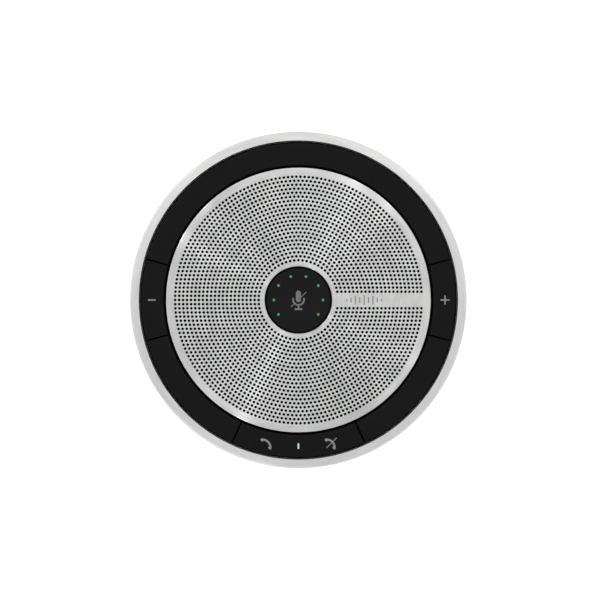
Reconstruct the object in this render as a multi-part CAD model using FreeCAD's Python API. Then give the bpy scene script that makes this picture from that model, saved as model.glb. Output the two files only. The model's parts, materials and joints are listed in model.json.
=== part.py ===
"""Conference speakerphone: a round, free-standing puck with a perforated speaker grille, a ring of keys
around it and a mute button in its centre.

Millimetres, +Z up. The origin is the centre of the underside, on the surface that the feet stand on.
+X is the volume-up side and -Y is the call-key side, which faces the user.

The stack, from the table up: a silicone foot ring in a base plate; a drum that the lead is wound round;
a base ring; a turned aluminium shell; a chassis that carries the loudspeaker, the key board and the bridge
with the mute button; and the grille. Four long screws from below clamp all of it together.
"""
import FreeCAD, Part
import math
import os

V = FreeCAD.Vector
UP = V(0, 0, 1)

# ---- overall sizes -------------------------------------------------------------------------------
overall_radius = 60.0
overall_height = 34.0
rim_drop = 1.0              # the rim and the key ring stand this much lower than the mute button's top
fit_gap = 0.3               # radial play where one casing part drops into another
touch_gap = 0.05            # play between parts that all but touch

# ---- aluminium shell -----------------------------------------------------------------------------
rim_width = 3.2             # silver band seen from above
rim_fall = 0.8              # how far the band slopes down to the outer edge
rim_edge_radius = 1.1
shell_foot_radius = 52.0
shell_bulge = 1.8           # how far the side bows out from a straight taper
shell_wall = 2.0
ledge_width = 1.8           # inner ledge that carries the chassis
ledge_depth = 1.5

# ---- base: foot ring, plate, drum for the lead, base ring ----------------------------------------
foot_height = 1.6           # how far the feet stand below the base plate
foot_inner_radius = 41.0
foot_outer_radius = 47.0
foot_seat_depth = 0.8
plate_radius = 50.0
plate_thickness = 2.4
drum_radius = 43.5
drum_wall = 2.0
drum_floor = 1.0
pilot_floor = 0.6           # solid left under a blind screw hole
groove_height = 6.0         # clear height of the groove that the lead is wound into
base_ring_thickness = 1.5
base_ring_land = 1.5        # how far the base ring reaches in past the drum's wall
spigot_height = 3.5
spigot_wall = 1.8

# ---- lead outlet ---------------------------------------------------------------------------------
lead_diameter = 3.0
lead_play = 0.1
grommet_wall = 0.45
grommet_lip = 0.35
grommet_lip_thickness = 1.0

# ---- housing screws ------------------------------------------------------------------------------
boss_clearance = 2.1        # from the chassis bosses to the drum's wall and to the main board
screw_angles = (45, 135, 225, 315)
screw_radius = 1.5
screw_head_radius = 2.75
screw_head_height = 1.4
screw_head_sink = 0.4       # depth of the head below the plate's face
screw_length = 12.0
screw_socket_radius = 1.2   # to the socket's corners
screw_socket_depth = 0.9
screw_end_room = 1.0        # bore beyond the screw's tip
thread_bite = 0.1           # how far the pilot bore is narrower than the screw
boss_wall = 1.9

# ---- chassis -------------------------------------------------------------------------------------
deck_thickness = 1.5
deck_below_rim = 5.5        # top of the key deck below the rim
speaker_deck_drop = 2.5     # the speaker's seat is this much lower than the key deck
speaker_opening_radius = 25.2
grille_wall_thickness = 1.2

# ---- grille --------------------------------------------------------------------------------------
grille_radius = 47.15
grille_hole_radius = 12.0
grille_sheet = 0.8
grille_crown = 0.8
grille_skirt_depth = 3.0
grille_edge_radius = 0.35
cloth_thickness = 0.3

# ---- key ring ------------------------------------------------------------------------------------
key_gap_inner = 0.9         # dark gap between the grille and the keys
key_gap_outer = 0.8         # dark gap between the keys and the rim
key_wall = 1.2
key_top_wall = 1.5
key_height = 3.0
key_edge_radius = 0.5
seam_width = 0.55
volume_half_angle = 15.0
call_half_angle = 25.0
key_travel = 0.8
rock_angle = 1.8            # degrees each way

# ---- key board and silicone domes ----------------------------------------------------------------
board_thickness = 1.0
key_board_inset = 0.35      # key board's edges inside the fixed covers' walls
mat_thickness = 0.4
dome_foot_radius = 2.2
dome_top_radius = 1.5
call_dome_angle = 12.6     # to each side of the rocker's middle
dome_height = 2.0
dome_wall = 0.5
dome_crest = 0.9            # thickness of a dome's solid top

# ---- snap pegs -----------------------------------------------------------------------------------
peg_radius = 1.2
peg_head_radius = 1.6
peg_head_height = 1.0
peg_play = 0.2
bite = 0.2                  # how far a solid reaches into the one that it is joined to
volume_peg_angle = 10.5     # to each side of a volume key's middle
call_peg_angle = 20.0
cover_peg_inset = 6.0       # degrees in from a fixed cover's ends

# ---- rocker pivot and status light ---------------------------------------------------------------
pivot_radius = 0.8
pivot_play = 0.05
saddle_width = 3.6
saddle_length = 1.3
saddle_grip = 0.35          # how far the saddle reaches round above the pivot's axis
pivot_web = 1.0
light_pipe_width = 0.6
light_pipe_length = 2.1
led_height = 0.5
led_width = 0.8
led_length = 1.6
level_led_length = 1.0
level_led_width = 0.6

# ---- mute button and its bridge ------------------------------------------------------------------
mute_gap = 0.8              # dark gap between the grille's edge and the button
mute_wall = 1.3
mute_height = 3.3
mute_dome_drop = 2.7        # the dome's top below the button's top
mute_preload = 0.1          # how far the dome stands pressed at rest
mute_land = 1.2             # flat edge round the dish
mute_top_wall = 1.4
mute_edge_radius = 0.4
mute_travel = 0.8
mute_dish = 0.2
level_light_count = 8
level_light_step = 36.0     # degrees
level_light_first = -36.0
level_light_circle = 8.74
level_light_radius = 0.45
hub_floor = 1.2
hub_wall = 1.4
hub_board_play = 0.4
arm_angles = (30, 150, 270)
arm_width = 4.0
arm_thickness = 1.7
arm_foot_radius = 3.2
arm_foot_play = 0.8         # between a foot and the loudspeaker's flange
small_screw_radius = 1.0
small_screw_head_radius = 1.9
small_screw_head_height = 1.2
small_screw_length = 5.0
small_screw_slot_width = 0.4
small_screw_slot_length = 2.4
small_screw_slot_depth = 0.5
mute_peg_circle = 5.6
mute_peg_radius = 0.8
mute_peg_head_radius = 1.15

# ---- loudspeaker ---------------------------------------------------------------------------------
gasket_thickness = 0.8
flange_land = 4.8
basket_sheet = 0.9
basket_depth = 9.8          # flange's top to the basket's floor
basket_foot_land = 0.3
basket_rim_inset = 1.2      # the cup's rim inside the loudspeaker's opening
basket_floor_land = 2.0     # the floor's hole outside the pole
basket_shelf_width = 2.4
basket_fillet = 0.4         # the shelf's edge inside the cup's foot
window_inset = 0.8          # windows' edges from the shelf and from the flange
window_half_angle = 26.0
damper_step = 0.6           # height of the damper's shelf above the basket's floor
terminal_height = 5.2       # solder tag's height below the flange
flange_screw_angles = (0, 90, 180, 270)
window_count = 4
magnet_radius = 16.5
magnet_hole_radius = 9.0
magnet_height = 3.8
pole_plate_height = 1.5
pole_radius = 6.2
coil_inner_radius = 6.5
former_wall = 0.15
coil_wall = 0.35
coil_height = 4.0
surround_inset = 1.6        # surround's roll inside the chassis opening
surround_width = 2.8
cone_depth = 7.0
cone_sheet = 0.5
surround_sheet = 0.4
surround_lip = 1.8
cone_excursion = 0.8

# ---- electronics ---------------------------------------------------------------------------------
main_board_thickness = 1.6
main_board_post_height = 1.5
main_board_post_radius = 2.4
main_board_screw_inset = 3.5
main_board_overlap = 0.5    # the board reaches this far past the ring clear of the bosses
main_board_screw_angles = (50, 170, 290)
microphone_angles = (120, 240)
microphone_boot_radius = 3.6
microphone_radius = 2.0
microphone_height = 1.6
microphone_collar_wall = 1.0
microphone_collar_height = 2.0
microphone_boot_inset = 1.9 # boot's edge inside the wall that the grille caps
wire_radius = 0.6
speaker_wire_spacing = 3.0
header_inset = 2.3          # headers' middles inside the main board's edge
header_height = 2.0
header_length = 2.6
header_width = 5.0
capacitor_radius = 3.0
capacitor_height = 6.5
capacitor_circle = 21.5
capacitor_angles = (75, 105)
# Each chip on the main board: radius and angle of its middle, then its length, width and height.
chip_sizes = ((23.0, 0, 8.0, 8.0, 1.2), (22.5, 40, 5.0, 5.0, 1.0), (22.5, 150, 7.0, 5.0, 1.4),
              (23.5, 270, 5.0, 9.0, 1.4), (23.0, 225, 6.0, 6.0, 1.0))
ribbon_thickness = 0.15
ribbon_width = 3.0
ribbon_play = 0.3
ribbon_clearance = 1.0      # mute ribbon's drop beyond an arm's foot
mute_ribbon_angle = 30      # under one of the bridge's arms
key_ribbon_angle = 70
key_ribbon_inset = 1.3

# ---- heights worked out from the sizes above -----------------------------------------------------
rim_z = overall_height - rim_drop
deck_z = rim_z - deck_below_rim                       # top of the key deck
deck_under_z = deck_z - deck_thickness
seat_z = deck_z - speaker_deck_drop                   # top of the speaker's deck
seat_under_z = seat_z - deck_thickness
plate_z = foot_height
plate_top_z = plate_z + plate_thickness
groove_top_z = plate_top_z + groove_height
shell_foot_z = groove_top_z + base_ring_thickness
drum_floor_z = plate_top_z + drum_floor
key_board_z = deck_z + board_thickness                # top of the key board
mat_z = key_board_z + mat_thickness
dome_z = mat_z + dome_height
key_foot_z = rim_z - key_height
hub_wall_radius = grille_hole_radius - mute_gap + hub_board_play
mute_radius = grille_hole_radius - mute_gap
mute_foot_z = overall_height - mute_height
mute_dome_z = overall_height - mute_dome_drop
mute_board_z = mute_dome_z - dome_height + mute_preload
hub_floor_z = mute_board_z - board_thickness
hub_under_z = hub_floor_z - hub_floor
flange_z = seat_z + gasket_thickness                  # underside of the speaker's flange
basket_top_z = flange_z + basket_sheet
basket_floor_z = basket_top_z - basket_depth

# ---- radii worked out from the sizes above -------------------------------------------------------
rim_inner_radius = overall_radius - rim_width
key_outer_radius = rim_inner_radius - key_gap_outer
key_inner_radius = grille_radius + key_gap_inner
key_mid_radius = (key_outer_radius + key_inner_radius) / 2
board_inner_radius = key_inner_radius + key_wall + key_board_inset
board_outer_radius = key_outer_radius - key_wall - key_board_inset
chassis_radius = rim_inner_radius - fit_gap
grille_wall_radius = grille_radius - grille_sheet - touch_gap - 0.1
base_ring_inner_radius = drum_radius - drum_wall - base_ring_land
boss_radius = screw_radius + boss_wall
screw_circle_radius = drum_radius - drum_wall - boss_clearance - boss_radius
main_board_radius = screw_circle_radius - boss_radius - boss_clearance + main_board_overlap
main_board_screw_circle = main_board_radius - main_board_screw_inset
header_radius = main_board_radius - header_inset
basket_flange_radius = speaker_opening_radius + flange_land
flange_screw_circle = speaker_opening_radius + flange_land / 2
surround_outer_radius = speaker_opening_radius - surround_inset
cone_outer_radius = surround_outer_radius - surround_width
basket_foot_radius = magnet_radius + basket_foot_land
arm_foot_circle = basket_flange_radius + arm_foot_play + arm_foot_radius
mute_ribbon_radius = arm_foot_circle + arm_foot_radius + ribbon_clearance
key_ribbon_radius = board_inner_radius + key_ribbon_inset
microphone_wall_gap = grille_wall_thickness + microphone_boot_inset
microphone_circle = grille_wall_radius - microphone_wall_gap - microphone_boot_radius
seams = (volume_half_angle, 180 - volume_half_angle, 180 + volume_half_angle,
         270 - call_half_angle, 270 + call_half_angle, 360 - volume_half_angle)
key_middles = {"volume_up": 0.0, "volume_down": 180.0}
call_middle = 270.0


# ---- small helpers -------------------------------------------------------------------------------
def point(radius, angle, z=0.0):
    """A point at that radius, angle in degrees and height."""
    turn = math.radians(angle)
    return V(radius * math.cos(turn), radius * math.sin(turn), z)


def disc(radius, z0, z1, at=V(0, 0, 0)):
    """An upright cylinder between two heights."""
    return Part.makeCylinder(radius, z1 - z0, V(at.x, at.y, z0), UP)


def tube(inner, outer, z0, z1, at=V(0, 0, 0)):
    return disc(outer, z0, z1, at).cut(disc(inner, z0, z1, at))


def cone(radius0, radius1, z0, z1, at=V(0, 0, 0)):
    return Part.makeCone(radius0, radius1, z1 - z0, V(at.x, at.y, z0), UP)


def lathe(*outline):
    """Turns an outline of (radius, z) points about Z. A point given as (middle, end) is the end of an arc."""
    edges = []
    start = last = V(outline[0][0], 0, outline[0][1])
    for item in outline[1:] + (outline[0],):
        if isinstance(item[0], tuple):
            middle, end = (V(r, 0, z) for r, z in item)
            edges.append(Part.Arc(last, middle, end).toShape())
        else:
            end = V(item[0], 0, item[1])
            if end.distanceToPoint(last) < 1e-7:
                continue
            edges.append(Part.LineSegment(last, end).toShape())
        last = end
    if last.distanceToPoint(start) > 1e-7:
        edges.append(Part.LineSegment(last, start).toShape())
    return Part.Face(Part.Wire(edges)).revolve(V(0, 0, 0), UP, 360)


def box_at(radius, angle, length, width, z0, z1):
    """A block centred at a radius and angle: length runs outwards, width round the circle."""
    block = Part.makeBox(length, width, z1 - z0, V(radius - length / 2, -width / 2, z0))
    return block.rotate(V(0, 0, 0), UP, angle) or block


def wedge(angle0, angle1, z0, z1):
    """A pie slice, big enough to reach past the whole object."""
    reach = 4 * overall_radius
    corners = [V(0, 0, z0)]
    steps = max(1, math.ceil((angle1 - angle0) / 60))
    corners += [point(reach, angle0 + (angle1 - angle0) * k / steps, z0) for k in range(steps + 1)]
    corners.append(corners[0])
    return Part.Face(Part.makePolygon(corners)).extrude(V(0, 0, z1 - z0))


def joined(first, others):
    """One solid from a shape and the pieces moulded with it."""
    return first.multiFuse(list(others)).removeSplitter() if others else first


def group(solids):
    """Identical loose solids that share one node."""
    return Part.makeCompound(list(solids))


def edge_arc(centre, radius, angle):
    """A point (r, z) on a small circle in the outline plane, for an arc's middle."""
    turn = math.radians(angle)
    return (centre[0] + radius * math.cos(turn), centre[1] + radius * math.sin(turn))


def cap_rise(radius, reach, height):
    """Height of a spherical cap above its edge, at a radius: reach is the edge's radius."""
    sphere = (reach ** 2 + height ** 2) / (2 * height)
    return math.sqrt(sphere ** 2 - radius ** 2) - (sphere - height)


def crown_z(radius, sink=0.0):
    """Height of the grille's crowned top at a radius, less a depth below it."""
    return rim_z + cap_rise(radius, grille_radius, grille_crown) - sink


def crowned_ring(inner, outer, sink0, sink1):
    """A ring that follows the crown, between two depths below the grille's top."""
    middle = (inner + outer) / 2
    return lathe(
        (inner, crown_z(inner, sink1)),
        ((middle, crown_z(middle, sink1)), (outer, crown_z(outer, sink1))),
        (outer, crown_z(outer, sink0)),
        ((middle, crown_z(middle, sink0)), (inner, crown_z(inner, sink0))),
    )


# ---- where pegs, pivots and domes are ------------------------------------------------------------
def cover_spans():
    """The three fixed stretches of the ring: name, first angle, last angle."""
    return (
        ("rear_ring_cover", seams[0], seams[1]),
        ("left_ring_cover", seams[2], seams[3]),
        ("right_ring_cover", seams[4], seams[5]),
    )


def moving_peg_angles():
    pegs = [middle + side * volume_peg_angle for middle in key_middles.values() for side in (-1, 1)]
    return pegs + [call_middle + side * call_peg_angle for side in (-1, 1)]


def cover_peg_angles(first, last):
    return (first + cover_peg_inset, last - cover_peg_inset)


def all_peg_angles():
    return moving_peg_angles() + [a for _, f, l in cover_spans() for a in cover_peg_angles(f, l)]


def saddle_radii():
    """The rocker's two bearings, one each side of the status light."""
    reach = (board_outer_radius - board_inner_radius - saddle_length) / 2 - fit_gap
    return (key_mid_radius - reach, key_mid_radius + reach)


def snap_peg(at, top_z, radius, head_radius, under_z, slack):
    """A round peg with a snap head that stays a slack below the surface it holds on to."""
    head_z = under_z - slack
    stem = disc(radius, head_z - peg_head_height, top_z, at)
    return stem.fuse(cone(radius, head_radius, head_z - peg_head_height, head_z, at))


# ---- shell and base ------------------------------------------------------------------------------
def shell_arc():
    """Centre and radius of the arc that the shell's side follows."""
    top = V(overall_radius, 0, rim_z - rim_fall - rim_edge_radius)
    foot = V(shell_foot_radius, 0, shell_foot_z)
    chord = top - foot
    radius = (chord.Length ** 2 / 4 + shell_bulge ** 2) / (2 * shell_bulge)
    out = V(chord.z, 0, -chord.x).normalize()
    centre = (top + foot) * 0.5 - out * (radius - shell_bulge)
    return centre, radius


def shell_radius_at(z, inset=0.0):
    centre, radius = shell_arc()
    return centre.x + math.sqrt((radius - inset) ** 2 - (z - centre.z) ** 2)


def outer_shell():
    top_z = rim_z - rim_fall - rim_edge_radius
    mid_z = (top_z + shell_foot_z) / 2
    corner = (overall_radius - rim_edge_radius, top_z)
    ledge_radius = rim_inner_radius - ledge_width
    ledge_foot_z = deck_under_z - ledge_depth
    blend_z = ledge_foot_z - 2 * ledge_width
    inner_mid_z = (blend_z + shell_foot_z) / 2
    bevel = 0.2
    return lathe(
        (shell_foot_radius, shell_foot_z),
        ((shell_radius_at(mid_z), mid_z), (overall_radius, top_z)),
        (edge_arc(corner, rim_edge_radius, 40), (corner[0], rim_z - rim_fall)),
        (rim_inner_radius + bevel, rim_z - bevel / 4),
        (rim_inner_radius, rim_z - bevel),
        (rim_inner_radius, deck_under_z),
        (ledge_radius, deck_under_z),
        (ledge_radius, ledge_foot_z),
        (shell_radius_at(blend_z, shell_wall), blend_z),
        ((shell_radius_at(inner_mid_z, shell_wall), inner_mid_z),
         (shell_radius_at(shell_foot_z, shell_wall), shell_foot_z)),
    )


def base_ring():
    """The black ring under the shell. Its spigot centres the shell, and its flange roofs the groove."""
    spigot = shell_radius_at(shell_foot_z, shell_wall) - fit_gap
    return lathe(
        (base_ring_inner_radius, groove_top_z),
        (shell_foot_radius - 0.3, groove_top_z),
        (shell_foot_radius, groove_top_z + 0.3),
        (shell_foot_radius, shell_foot_z),
        (spigot, shell_foot_z),
        (spigot, shell_foot_z + spigot_height),
        (spigot - spigot_wall, shell_foot_z + spigot_height),
        (spigot - spigot_wall, groove_top_z + base_ring_thickness),
        (base_ring_inner_radius, groove_top_z + base_ring_thickness),
    )


def lead_drum():
    """The cup that the lead is wound round. It also holds the main board."""
    cup = disc(drum_radius, plate_top_z, groove_top_z)
    cup = cup.cut(disc(drum_radius - drum_wall, drum_floor_z, groove_top_z))
    posts = [disc(main_board_post_radius, drum_floor_z - bite, drum_floor_z + main_board_post_height,
                  point(main_board_screw_circle, a)) for a in main_board_screw_angles]
    cup = joined(cup, posts)
    holes = [disc(screw_radius + peg_play, plate_top_z, drum_floor_z, point(screw_circle_radius, a))
             for a in screw_angles]
    holes += [disc(small_screw_radius, plate_top_z + pilot_floor, drum_floor_z + main_board_post_height,
                   point(main_board_screw_circle, a)) for a in main_board_screw_angles]
    neck = lead_diameter / 2 + lead_play + grommet_wall
    holes.append(Part.makeCylinder(neck + touch_gap, 3 * drum_wall,
                                   V(0, drum_radius - 2 * drum_wall, lead_z()), V(0, 1, 0)))
    return cup.cut(Part.makeCompound(holes))


def lead_z():
    return (drum_floor_z + groove_top_z) / 2


def lead_grommet():
    """The rubber bush in the drum's wall that the lead leaves through."""
    bore = lead_diameter / 2 + lead_play
    neck = bore + grommet_wall
    lip = neck + grommet_lip
    inner_face = math.sqrt((drum_radius - drum_wall) ** 2 - lip ** 2) - touch_gap
    start = inner_face - grommet_lip_thickness
    end = drum_radius + grommet_lip_thickness
    along = V(0, 1, 0)
    body = Part.makeCylinder(neck, end - start, V(0, start, lead_z()), along)
    body = body.multiFuse([
        Part.makeCylinder(lip, grommet_lip_thickness, V(0, start, lead_z()), along),
        Part.makeCylinder(lip, grommet_lip_thickness, V(0, drum_radius, lead_z()), along),
    ])
    return body.cut(Part.makeCylinder(bore, end - start, V(0, start, lead_z()), along))


def base_plate():
    edge = 0.6
    plate = lathe(
        (0, plate_z), (foot_inner_radius, plate_z), (foot_inner_radius, plate_z + foot_seat_depth),
        (foot_outer_radius, plate_z + foot_seat_depth), (foot_outer_radius, plate_z),
        (plate_radius - edge, plate_z),
        (edge_arc((plate_radius - edge, plate_z + edge), edge, -45), (plate_radius, plate_z + edge)),
        (plate_radius, plate_top_z), (0, plate_top_z),
    )
    cuts = []
    for a in screw_angles:
        at = point(screw_circle_radius, a)
        cuts.append(disc(screw_radius + peg_play, plate_z, plate_top_z, at))
        cuts.append(disc(screw_head_radius + peg_play, plate_z,
                         plate_z + screw_head_sink + screw_head_height, at))
    return plate.cut(Part.makeCompound(cuts))


def foot_ring():
    """The silicone ring that the object stands on, with rounded edges underneath."""
    edge = 0.6
    top = plate_z + foot_seat_depth
    inner, outer = foot_inner_radius + touch_gap, foot_outer_radius - touch_gap
    return lathe(
        (inner + edge, 0), (outer - edge, 0),
        (edge_arc((outer - edge, edge), edge, -45), (outer, edge)),
        (outer, top), (inner, top), (inner, edge),
        (edge_arc((inner + edge, edge), edge, 225), (inner + edge, 0)),
    )


def base_screws():
    """Four long pan-head screws with a hexagon socket, from below into the chassis bosses."""
    head_z = plate_z + screw_head_sink
    screws = []
    for a in screw_angles:
        at = point(screw_circle_radius, a)
        shank = disc(screw_radius, head_z, head_z + screw_head_height + screw_length, at)
        screw = shank.fuse(disc(screw_head_radius, head_z, head_z + screw_head_height, at))
        corners = [at + point(screw_socket_radius, 60 * k, head_z) for k in range(7)]
        socket = Part.Face(Part.makePolygon(corners)).extrude(V(0, 0, screw_socket_depth))
        screws.append(screw.cut(socket))
    return group(screws)


# ---- chassis and grille --------------------------------------------------------------------------
def chassis():
    """The black frame: key deck, lower speaker deck, the wall that the grille caps, and long bosses."""
    wall_inner = grille_wall_radius - grille_wall_thickness
    wall_top = crown_z(grille_wall_radius, grille_sheet + cloth_thickness)
    body = lathe(
        (speaker_opening_radius, seat_under_z), (grille_wall_radius, seat_under_z),
        (grille_wall_radius, deck_under_z), (chassis_radius, deck_under_z),
        (chassis_radius, deck_z), (grille_wall_radius, deck_z),
        (grille_wall_radius, wall_top), (wall_inner, wall_top),
        (wall_inner, seat_z), (speaker_opening_radius, seat_z),
    )
    added = [disc(boss_radius, drum_floor_z, seat_under_z + bite, point(screw_circle_radius, a))
             for a in screw_angles]
    for radius in saddle_radii():
        added.append(box_at(radius, call_middle, saddle_length, saddle_width, deck_z - bite,
                            pivot_z() + saddle_grip))
    for a in microphone_angles:
        added.append(tube(microphone_boot_radius + touch_gap, microphone_boot_radius + microphone_collar_wall,
                          seat_z - bite, seat_z + microphone_collar_height, point(microphone_circle, a)))
    body = joined(body, added)
    flange_room = disc(basket_flange_radius + fit_gap, seat_z, seat_z + microphone_collar_height)
    pilot = screw_radius - thread_bite
    screw_end = plate_z + screw_head_sink + screw_head_height + screw_length + screw_end_room
    cuts = [flange_room]
    cuts += [disc(screw_radius, drum_floor_z, screw_end, point(screw_circle_radius, a)) for a in screw_angles]
    cuts += [disc(pilot, screw_end, screw_end + screw_end_room, point(screw_circle_radius, a))
             for a in screw_angles]
    cuts += [disc(peg_radius + peg_play, deck_under_z, deck_z, point(key_mid_radius, a))
             for a in all_peg_angles()]
    cuts += [disc(small_screw_radius, seat_under_z, seat_z, point(flange_screw_circle, a))
             for a in flange_screw_angles]
    cuts += [disc(small_screw_radius, seat_under_z, seat_z, point(arm_foot_circle, a)) for a in arm_angles]
    cuts.append(Part.makeCylinder(pivot_radius + pivot_play, board_outer_radius - board_inner_radius,
                                  point(board_inner_radius, call_middle, pivot_z()), V(0, -1, 0)))
    cuts += [disc(wire_radius + peg_play, seat_under_z, seat_z, point(microphone_circle, a))
             for a in microphone_angles]
    cuts.append(ribbon_slot(key_ribbon_radius, key_ribbon_angle, deck_under_z, deck_z))
    cuts.append(ribbon_slot(mute_ribbon_radius, mute_ribbon_angle, seat_under_z, seat_z))
    return body.cut(Part.makeCompound(cuts))


def speaker_grille():
    """The crowned aluminium cap with a skirt. Its fine perforation is left to the visual model."""
    skirt_foot = rim_z - grille_skirt_depth
    inner_corner = grille_radius - grille_sheet
    edge = grille_edge_radius
    middle = (grille_hole_radius + grille_radius) / 2
    top_end = grille_radius - edge
    return lathe(
        (grille_hole_radius, crown_z(grille_hole_radius, grille_sheet)),
        ((middle, crown_z(middle, grille_sheet)), (inner_corner, crown_z(inner_corner, grille_sheet))),
        (inner_corner, skirt_foot), (grille_radius, skirt_foot),
        (grille_radius, crown_z(top_end) - edge),
        (edge_arc((top_end, crown_z(top_end) - edge), edge, 45), (top_end, crown_z(top_end))),
        ((middle, crown_z(middle)), (grille_hole_radius, crown_z(grille_hole_radius))),
    )


def grille_cloth():
    """The acoustic mesh bonded under the grille."""
    inner = hub_outer_radius() + 0.2
    outer = grille_wall_radius - touch_gap
    return crowned_ring(inner, outer, grille_sheet, grille_sheet + cloth_thickness)


# ---- key ring ------------------------------------------------------------------------------------
def ring_blank(foot_z, cavity_z):
    """The whole key ring as a channel, open below, before it is divided at the seams."""
    e = key_edge_radius
    inner, outer = key_inner_radius, key_outer_radius
    return lathe(
        (inner, foot_z), (inner + key_wall, foot_z), (inner + key_wall, cavity_z),
        (outer - key_wall, cavity_z), (outer - key_wall, foot_z), (outer, foot_z),
        (outer, rim_z - e),
        (edge_arc((outer - e, rim_z - e), e, 45), (outer - e, rim_z)),
        (inner + e, rim_z),
        (edge_arc((inner + e, rim_z - e), e, 135), (inner, rim_z - e)),
    )


def ring_piece(first, last, foot_z):
    """One stretch of the ring between two seams. Its end walls stop above the key board."""
    cavity_z = rim_z - key_top_wall
    piece = ring_blank(foot_z, cavity_z).common(wedge(first, last, foot_z - 1, rim_z + 1))
    ends = []
    for a in (first, last):
        inner, outer = key_inner_radius + key_wall / 2, key_outer_radius - key_wall / 2
        ends.append(box_at((inner + outer) / 2, a, outer - inner, 2 * key_wall + seam_width,
                           key_foot_z, cavity_z + 0.3))
    sector = wedge(first, last, foot_z - 1, rim_z + 1)
    piece = joined(piece, [end.common(sector) for end in ends])
    slots = [box_at(key_mid_radius, a, 4 * key_wall + key_outer_radius - key_inner_radius, seam_width,
                    foot_z - 1, rim_z + 1) for a in (first, last)]
    return piece.cut(Part.makeCompound(slots))


def ring_cover(first, last):
    """A fixed stretch: its walls stand on the key deck and two pegs hold it down."""
    piece = ring_piece(first, last, deck_z)
    pegs = [snap_peg(point(key_mid_radius, a), rim_z - key_top_wall + bite, peg_radius, peg_head_radius,
                     deck_under_z, touch_gap) for a in cover_peg_angles(first, last)]
    return joined(piece, pegs)


def volume_key(middle):
    piece = ring_piece(middle - volume_half_angle, middle + volume_half_angle, key_foot_z)
    under = rim_z - key_top_wall + bite
    added = [snap_peg(point(key_mid_radius, middle + side * volume_peg_angle), under, peg_radius,
                      peg_head_radius, deck_under_z, touch_gap) for side in (-1, 1)]
    added.append(disc(dome_top_radius, dome_z, under, point(key_mid_radius, middle)))
    return joined(piece, added)


def pivot_z():
    """Height of the axis that the call key rocks about."""
    return key_foot_z + 0.2


def light_pipe(grow=0.0):
    """The status light's clear bar: a rounded slot, seen end-on in the call key's top."""
    half = light_pipe_width / 2 + grow
    run = light_pipe_length - light_pipe_width
    foot = pivot_z()
    bar = box_at(key_mid_radius, call_middle, run, 2 * half, foot, rim_z)
    ends = [disc(half, foot, rim_z, point(key_mid_radius + side * run / 2, call_middle)) for side in (-1, 1)]
    return joined(bar, ends)


def call_key():
    """The front key rocks: its left end answers a call and its right end ends it."""
    piece = ring_piece(call_middle - call_half_angle, call_middle + call_half_angle, key_foot_z)
    under = rim_z - key_top_wall + bite
    peg_reach = key_mid_radius * math.sin(math.radians(call_peg_angle))
    slack = peg_reach * math.sin(math.radians(rock_angle)) + 0.1
    added = [snap_peg(point(key_mid_radius, call_middle + side * call_peg_angle), under, peg_radius - 0.1,
                      peg_head_radius, deck_under_z, slack) for side in (-1, 1)]
    for side in (-1, 1):
        dome_at = point(key_mid_radius, call_middle + side * call_dome_angle)
        added.append(disc(dome_top_radius, dome_z, under, dome_at))
    for radius in saddle_radii():
        added.append(box_at(radius, call_middle, saddle_length, pivot_web, pivot_z(), under))
        start = point(radius - saddle_length / 2, call_middle, pivot_z())
        added.append(Part.makeCylinder(pivot_radius, saddle_length, start, V(0, -1, 0)))
    return joined(piece, added).cut(light_pipe())


def key_board():
    """The ring-shaped circuit board under the keys, cut out for pegs and the rocker's bearings."""
    board = tube(board_inner_radius, board_outer_radius, deck_z, key_board_z)
    return board.cut(ring_cut_outs(deck_z, key_board_z, 0.3))


def keypad_mat():
    """The silicone web that the domes grow from."""
    mat = tube(board_inner_radius, board_outer_radius, key_board_z, mat_z)
    status = box_at(key_mid_radius, call_middle, 2 * saddle_length, 2.2, key_board_z, mat_z)
    return mat.cut(ring_cut_outs(key_board_z, mat_z, 0.4)).cut(status)


def ring_cut_outs(z0, z1, play):
    """Round holes for the snap pegs and open notches for the rocker's saddles."""
    cuts = [disc(peg_head_radius + play, z0, z1, point(key_mid_radius, a)) for a in all_peg_angles()]
    for radius, side in zip(saddle_radii(), (-1, 1)):
        middle = radius + side * (saddle_length / 2 - play)
        cuts.append(box_at(middle, call_middle, 2 * saddle_length, saddle_width + 2 * play, z0, z1))
    return Part.makeCompound(cuts)


def dome(at, z0, z1):
    """A hollow silicone dome: a conical skirt with a flat solid top."""
    shell = cone(dome_foot_radius, dome_top_radius, z0, z1, at)
    return shell.cut(cone(dome_foot_radius - dome_wall, dome_top_radius - dome_wall, z0, z1 - dome_crest, at))


def status_led():
    return box_at(key_mid_radius, call_middle, led_width, led_length, key_board_z, key_board_z + led_height)


# ---- mute button ---------------------------------------------------------------------------------
def level_light_angles():
    return [level_light_first + level_light_step * k for k in range(level_light_count)]


def mute_button():
    """The round cap in the middle: slightly dished, with a skirt and three snap pegs."""
    top, e = overall_height, mute_edge_radius
    under = top - mute_top_wall
    land = mute_radius - mute_land
    cap = lathe(
        (0, top - mute_dish), ((land / 2, top - cap_rise(land / 2, land, mute_dish)), (land, top)),
        (mute_radius - e, top), (edge_arc((mute_radius - e, top - e), e, 45), (mute_radius, top - e)),
        (mute_radius, mute_foot_z), (mute_radius - mute_wall, mute_foot_z),
        (mute_radius - mute_wall, under), (0, under),
    )
    added = [disc(dome_top_radius, mute_dome_z, under + bite)]
    added += [snap_peg(point(mute_peg_circle, a), under + bite, mute_peg_radius, mute_peg_head_radius,
                       hub_under_z, touch_gap) for a in arm_angles]
    return joined(cap, added).cut(level_light_pipes(top))


def level_light_pipes(top=None):
    """Eight clear rods, one over each level light. They end a little below the dished top."""
    foot = mute_board_z + led_height + mute_travel + 0.2
    top = top or overall_height - mute_dish
    return group(disc(level_light_radius, foot, top, point(level_light_circle, a))
                 for a in level_light_angles())


def level_leds():
    return group(box_at(level_light_circle, a, level_led_length, level_led_width, mute_board_z,
                        mute_board_z + led_height) for a in level_light_angles())


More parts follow.
